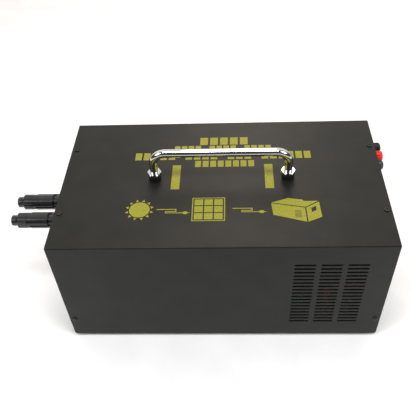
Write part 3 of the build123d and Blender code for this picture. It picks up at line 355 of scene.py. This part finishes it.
def printOn(name, outlines, place, body, material, thickness=inkThickness):
    # place takes outline millimetres to the frame; the ink stands off along the place's own Z
    sheet = bmesh.new()
    for outline in outlines:
        low = [sheet.verts.new(place @ Vector((x, y, 0.0))) for x, y in outline]
        high = [sheet.verts.new(place @ Vector((x, y, thickness))) for x, y in outline]
        sheet.faces.new(list(reversed(low)))
        sheet.faces.new(high)
        for i in range(len(outline)):
            j = (i + 1) % len(outline)
            sheet.faces.new((low[i], low[j], high[j], high[i]))
    bmesh.ops.recalc_face_normals(sheet, faces=sheet.faces)
    mesh = bpy.data.meshes.new(name)
    sheet.to_mesh(mesh)
    sheet.free()
    mesh.materials.append(material)
    piece = bpy.data.objects.new(name, mesh)
    bpy.context.scene.collection.objects.link(piece)
    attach(piece, body)


topPlace = Matrix.Translation((caseMiddle.x, caseMiddle.y, coverTop)) @ Matrix.Scale(mm, 4)

wordRows = {  # each row: middle x, lower edge y, block height, block counts of its words, block pitch
    "rowPower": (3.0, 63.0, 14.5, (5,), 12.8),
    "rowWave": (1.5, 49.8, 11.5, (4, 4, 4), 8.9),
    "rowSystem": (1.3, 34.8, 13.5, (5, 4, 3, 6), 10.6),
    "rowKind": (4.0, 20.6, 11.5, (8,), 9.4)}
blockShare = 0.78  # how much of its pitch a block fills


def wordBlocks(middle, low, height, words, pitch):
    # plain blocks in place of lettering
    total = (sum(words) + len(words) - 1) * pitch
    x = middle - total / 2
    blocks = []
    for count in words:
        for i in range(count):
            blocks.append(rectangle(x + (1 - blockShare) / 2 * pitch, low, blockShare * pitch, height))
            x += pitch
        x += pitch
    return blocks


for rowName, row in wordRows.items():
    printOn(rowName, wordBlocks(*row), topPlace, "case", ink)

sideBars = {"width": 10.3, "low": -18.5, "height": 42.9, "left": -60.2, "right": 52.7}
printOn("sideBars", [rectangle(sideBars["left"], sideBars["low"], sideBars["width"], sideBars["height"]),
                     rectangle(sideBars["right"], sideBars["low"], sideBars["width"], sideBars["height"])],
        topPlace, "case", ink)

sun = {"x": -94.0, "y": -52.0, "radius": 12.0, "rayStart": 13.3, "rayEnd": 17.0, "rayHalf": 2.0, "rays": 12}


def sunOutlines():
    outlines = [circle(sun["x"], sun["y"], sun["radius"])]
    for i in range(sun["rays"]):
        turn = Matrix.Rotation(2 * math.pi * (i + 0.5) / sun["rays"], 2)
        corners = [(sun["rayStart"], -sun["rayHalf"]), (sun["rayEnd"], 0.0),
                   (sun["rayStart"], sun["rayHalf"])]
        outlines.append([tuple(turn @ Vector(c) + Vector((sun["x"], sun["y"]))) for c in corners])
    return outlines


printOn("sunPictogram", sunOutlines(), topPlace, "case", ink)

panelSign = {"x": -33.2, "y": -70.6, "width": 38.2, "height": 37.2, "frame": 1.2, "gap": 1.5, "cells": 3}


def panelOutlines():
    p = panelSign
    x, y, w, h, f = p["x"], p["y"], p["width"], p["height"], p["frame"]
    outlines = [rectangle(x, y, w, f), rectangle(x, y + h - f, w, f),
                rectangle(x, y + f, f, h - 2 * f), rectangle(x + w - f, y + f, f, h - 2 * f)]
    cellWidth = (w - 2 * f - (p["cells"] + 1) * p["gap"]) / p["cells"]
    cellHeight = (h - 2 * f - (p["cells"] + 1) * p["gap"]) / p["cells"]
    for i in range(p["cells"]):
        for j in range(p["cells"]):
            outlines.append(rectangle(x + f + p["gap"] + i * (cellWidth + p["gap"]),
                                      y + f + p["gap"] + j * (cellHeight + p["gap"]), cellWidth, cellHeight))
    return outlines


printOn("panelPictogram", panelOutlines(), topPlace, "case", ink)

leadSign = {"wire": 1.2, "starts": ((-74.0, -52.4), (13.5, -51.9)), "first": 23.0, "drop": 4.4, "back": 13.0,
            "second": 20.0, "plug": 3.2, "squash": 0.7, "pin": 2.4}


def leadOutlines(x, y):
    # a lead that folds back once and ends in a round plug
    wire, drop = leadSign["wire"], leadSign["drop"]
    turnX = x + leadSign["first"]
    lowX = turnX - leadSign["back"]
    plugX = lowX + leadSign["second"]
    return [rectangle(x, y, leadSign["first"], wire), rectangle(turnX - wire, y - drop / 2, wire, drop / 2),
            rectangle(lowX, y - drop / 2 - wire, leadSign["back"], wire),
            rectangle(lowX, y - drop - wire, wire, drop / 2),
            rectangle(lowX + wire, y - drop - wire, leadSign["second"] - wire, wire),
            circle(plugX + leadSign["plug"], y - drop - wire / 2, leadSign["plug"], 24, leadSign["squash"]),
            rectangle(plugX + 2 * leadSign["plug"], y - drop - wire * 0.75, leadSign["pin"], wire / 2)]


printOn("leadPictograms", [outline for start in leadSign["starts"] for outline in leadOutlines(*start)],
        topPlace, "case", ink)

boxSign = {"top": [(58.0, -42.6), (78.0, -35.6), (94.0, -38.4), (95.5, -40.6), (112.0, -40.6), (97.0, -50.0)],
           "wall": [(58.0, -43.8), (96.0, -51.2), (96.6, -73.2), (59.6, -62.0)],
           "end": [(97.4, -51.2), (112.8, -41.8), (114.0, -65.8), (98.0, -73.2)],
           "window": [(103.0, -52.0), (108.4, -48.6), (108.7, -55.0), (103.3, -58.6)],
           "vent": (84.0, -66.0, 7.5, 0.7, 1.9, 6)}
printOn("boxPictogram", [boxSign["top"], boxSign["wall"], boxSign["end"]], topPlace, "case", ink)
ventX, ventY, ventWidth, ventHeight, ventPitch, ventCount = boxSign["vent"]
ventLines = [rectangle(ventX, ventY + i * ventPitch, ventWidth, ventHeight) for i in range(ventCount)]
printOn("boxPictogramGaps", [boxSign["window"]] + ventLines,
        topPlace @ Matrix.Translation((0, 0, inkThickness)), "case", coat, inkThickness / 2)
print("marks printed on the cover")


# marks and labels on the ends

def sidePlace(x, y, z, outward=1.0):
    # marks on an end panel: outline x runs across as seen from outside, y up, ink stands outwards
    across = Vector((0.0, outward, 0.0))
    up = Vector((0.0, 0.0, 1.0))
    turn = Matrix((across, up, Vector((outward, 0.0, 0.0)))).transposed().to_4x4()
    return Matrix.Translation((x, y, z)) @ turn @ Matrix.Scale(mm, 4)


screenSign = {"barLeft": -27.0, "barWidth": 5.0, "barPitch": 7.0, "barLow": -8.0,
              "barHeights": (4.0, 6.5, 9.0, 11.5, 14.0),
              "lineLeft": 8.0, "lineWidth": 16.0, "lineHeight": 1.6, "linePitch": 4.6, "lines": 4}
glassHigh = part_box("display_board")[1]
windowLow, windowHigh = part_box("display_window")
screenMiddle = (windowLow + windowHigh) / 2


def screenOutlines():
    # unlit segments of a level gauge, with plain lines beside it
    q = screenSign
    gauge = [rectangle(q["barLeft"] + i * q["barPitch"], q["barLow"], q["barWidth"], height)
             for i, height in enumerate(q["barHeights"])]
    lows = [q["barLow"] + i * q["linePitch"] for i in range(q["lines"])]
    return gauge + [rectangle(q["lineLeft"], low, q["lineWidth"], q["lineHeight"]) for low in lows]


# the display's unlit segments, dark green-grey on its glass
segments = makeMoulded("darkDisplaySegments", ("2c352a", "343e31"), (0.3, 0.4), 3.0, 0.005)
printOn("screenSegments", screenOutlines(), sidePlace(glassHigh.x, screenMiddle.y, screenMiddle.z), "case",
        segments, labelThickness)

# face and across: millimetres from the pivot to a mark; slope and rest: the rocker's own angles in degrees
rockerSign = {"across": 5.5, "face": 5.0, "slope": 10.305, "rest": 10.0, "markSize": 3.2, "stroke": 0.7}
joints = frame["record"]["behaviour"]["joints"]
pivot = Vector(next(joint["pos_m"] for joint in joints if joint["name"] == "power_switch_tilt"))
# pad-printed marks, flat white
whiteInk = makeMoulded("whitePadPrint", ("e6e6e2", "f2f2ee"), (0.4, 0.5), 2.0, 0.005)


def rockerPlace(side):
    # on the rocker's upper (1) or lower (-1) half; the rocker rests tilted about its pivot
    rest = Matrix.Rotation(math.radians(rockerSign["rest"]), 4, "Y")
    face = Matrix.Translation((rockerSign["face"] * mm, 0.0, side * rockerSign["across"] * mm))
    slope = Matrix.Rotation(math.radians(side * rockerSign["slope"]), 4, "Y")
    return Matrix.Translation(pivot) @ rest @ face @ slope @ sidePlace(0.0, 0.0, 0.0)


size, stroke = rockerSign["markSize"], rockerSign["stroke"]
printOn("rockerLine", [rectangle(-stroke / 2, -size / 2, stroke, size)], rockerPlace(1), "rocker", whiteInk,
        labelThickness)


def halfRing(start, points=12):
    # half of the off mark's ring, a hair short at both ends so that the halves stay apart
    gap = 0.02
    turns = [start + gap + (math.pi - 2 * gap) * i / points for i in range(points + 1)]
    outer = [(size / 2 * math.cos(t), size / 2 * math.sin(t)) for t in turns]
    inner = [((size / 2 - stroke) * math.cos(t), (size / 2 - stroke) * math.sin(t)) for t in reversed(turns)]
    return outer + inner


printOn("rockerRing", [halfRing(0.0), halfRing(math.pi)], rockerPlace(-1), "rocker", whiteInk,
        labelThickness)

hubRadius = 11.0
# foil label on a rotor's hub, pale with a soft sheen
hubLabel = makePlated("brushedLabelFoil", ("b4b6b8", "c8cacc"), (0.3, 0.45), 5.0)
for end in ("front", "rear"):
    rotorLow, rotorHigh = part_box(f"fan_rotor_{end}")
    rotorMiddle = (rotorLow + rotorHigh) / 2
    printOn(f"hubLabel_{end}", [circle(0, 0, hubRadius)],
            sidePlace(rotorLow.x, rotorMiddle.y, rotorMiddle.z, -1.0), f"rotor_{end}", hubLabel)
print("marks and labels on the ends")


# camera, floor and light

def aimRotation(yaw, pitch, roll):
    # yaw from +Y, pitch below the horizon and roll, in degrees, to a camera's rotation
    yaw, pitch, roll = map(math.radians, (yaw, pitch, roll))
    forward = Vector((math.sin(yaw) * math.cos(pitch), math.cos(yaw) * math.cos(pitch), -math.sin(pitch)))
    level = Vector((math.cos(yaw), -math.sin(yaw), 0.0))
    upright = level.cross(forward)
    right = level * math.cos(roll) + upright * math.sin(roll)
    up = upright * math.cos(roll) - level * math.sin(roll)
    return Matrix((right, up, -forward)).transposed()


# offset: millimetres from the middle of the case's underside; angles in degrees; lens in millimetres
view = {"offset": (16.2, -510.4, 643.0), "yaw": -3.84, "pitch": 45.72, "roll": -3.40, "lens": 49.72}
cameraData = bpy.data.cameras.new("camera")
cameraData.lens = view["lens"]
cameraData.clip_start = 0.01
camera = bpy.data.objects.new("camera", cameraData)
camera.matrix_world = Matrix.Translation(Vector((caseMiddle.x, caseMiddle.y, coverBottom))
                                         + Vector(view["offset"]) * mm) \
    @ aimRotation(view["yaw"], view["pitch"], view["roll"]).to_4x4()
bpy.context.scene.collection.objects.link(camera)
bpy.context.scene.camera = camera

# the sky is bright where its direction leans towards skyAxis and dim where it leans away
studio = {"floorSize": 8.0, "floorColours": ("f4f4f4", "fafafa"), "bright": 0.95, "dim": 0.08,
          "skyAxis": (0.0, 0.85, 0.53), "dimBelow": 0.3, "brightAbove": 0.7}


def makeFloor():
    # matt white paper sweep, even and faintly fibrous
    material = makeSurface("matteWhitePaper", {"IOR": 1.3, "Roughness": 0.9},
                           (*studio["floorColours"], 60.0, softDetail), None, (2.0, softDetail, 0.01, 0.2))[0]
    mesh = bpy.data.meshes.new("floor")
    half = studio["floorSize"] / 2
    corners = [(-half, -half, 0), (half, -half, 0), (half, half, 0), (-half, half, 0)]
    mesh.from_pydata(corners, [], [(0, 1, 2, 3)])
    mesh.materials.append(material)
    floor = bpy.data.objects.new("floor", mesh)
    bpy.context.scene.collection.objects.link(floor)


makeFloor()


def makeSky():
    # white studio ceiling and rear wall; the room behind the camera stays dark, so edges get dark lines
    world = bpy.data.worlds.new("studioSky")
    bpy.context.scene.world = world
    world.use_nodes = True
    tree = world.node_tree
    direction = addNode(tree, "ShaderNodeTexCoord").outputs["Generated"]
    rise = addNode(tree, "ShaderNodeVectorMath", {"operation": "DOT_PRODUCT", 1: studio["skyAxis"]},
                   {0: direction})
    strength = addNode(tree, "ShaderNodeMapRange",
                       {"From Min": studio["dimBelow"], "From Max": studio["brightAbove"],
                        "To Min": studio["dim"], "To Max": studio["bright"]},
                       {"Value": rise.outputs["Value"]})
    tree.links.new(strength.outputs["Result"], tree.nodes["Background"].inputs["Strength"])
    tree.nodes["Background"].inputs["Color"].default_value = hexColour("ffffff")


makeSky()
softboxes = {  # name: place, width and height in metres, watts, colour; each aims at the middle of the case
    "keyLeft": ((-1.25, -0.75, 1.3), (1.0, 1.0), 10.5, "ffffff"),
    "keyRight": ((1.35, -0.75, 1.3), (1.0, 1.0), 12.5, "ffffff"),
    "frontTop": ((0.0, -0.35, 1.5), (0.9, 0.3), 12.5, "ffffff"),
    "backTop": ((0.08, 1.25, 1.5), (0.5, 1.3), 9.0, "ffe9da")}
for lightName, (lightPlace, lightSize, lightPower, lightColour) in softboxes.items():
    lightData = bpy.data.lights.new(lightName, "AREA")
    lightData.shape = "RECTANGLE"
    lightData.size, lightData.size_y = lightSize
    lightData.energy = lightPower
    lightData.color = hexColour(lightColour)[:3]
    light = bpy.data.objects.new(lightName, lightData)
    light.location = lightPlace
    light.rotation_euler = (caseMiddle - Vector(lightPlace)).to_track_quat("-Z", "Y").to_euler()
    bpy.context.scene.collection.objects.link(light)
bpy.context.scene.view_settings.view_transform = "Standard"
print("camera, floor and lights placed")
